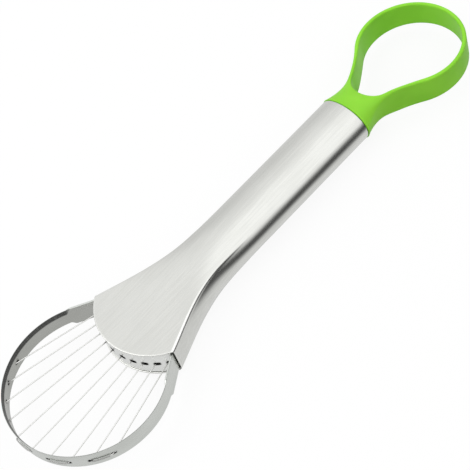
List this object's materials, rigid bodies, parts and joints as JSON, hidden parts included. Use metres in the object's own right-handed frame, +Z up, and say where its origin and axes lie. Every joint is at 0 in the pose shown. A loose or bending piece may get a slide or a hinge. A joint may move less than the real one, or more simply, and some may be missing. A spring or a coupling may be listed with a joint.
{
  "type": "wire avocado slicer",
  "caption": "Hand slicer for avocados: a wire-strung steel hoop on a flared oval steel handle, with a plastic teardrop loop at the other end for lifting out the pit.",
  "frame": {"origin": "under the middle of the tool's length, on the surface that the oval tube lies on", "axes": "+X along the tool from the wire hoop to the pit loop, +Y across the hoop, +Z up through the hoop"},
  "size_m": [0.2516, 0.066, 0.0185],
  "materials": {
    "handle_steel": "satin, brushed along the handle",
    "band_steel": "rolled strip with a ground edge",
    "wire_steel": "bright drawn wire",
    "lime_plastic": "moulded, satin gloss"
  },
  "bodies": {
    "root": {"handle_shell": "handle_steel", "hoop_blade": "band_steel", "wire_anchor": "band_steel", "pit_loop": "lime_plastic", "cutting_wire_1": "wire_steel", "cutting_wire_2": "wire_steel", "cutting_wire_3": "wire_steel", "cutting_wire_4": "wire_steel", "cutting_wire_5": "wire_steel", "wire_crimp_01": "wire_steel", "wire_crimp_02": "wire_steel", "wire_crimp_03": "wire_steel", "wire_crimp_04": "wire_steel", "wire_crimp_05": "wire_steel", "wire_crimp_06": "wire_steel", "wire_crimp_07": "wire_steel", "wire_crimp_08": "wire_steel", "wire_crimp_09": "wire_steel", "wire_crimp_10": "wire_steel"}
  },
  "joints": []
}
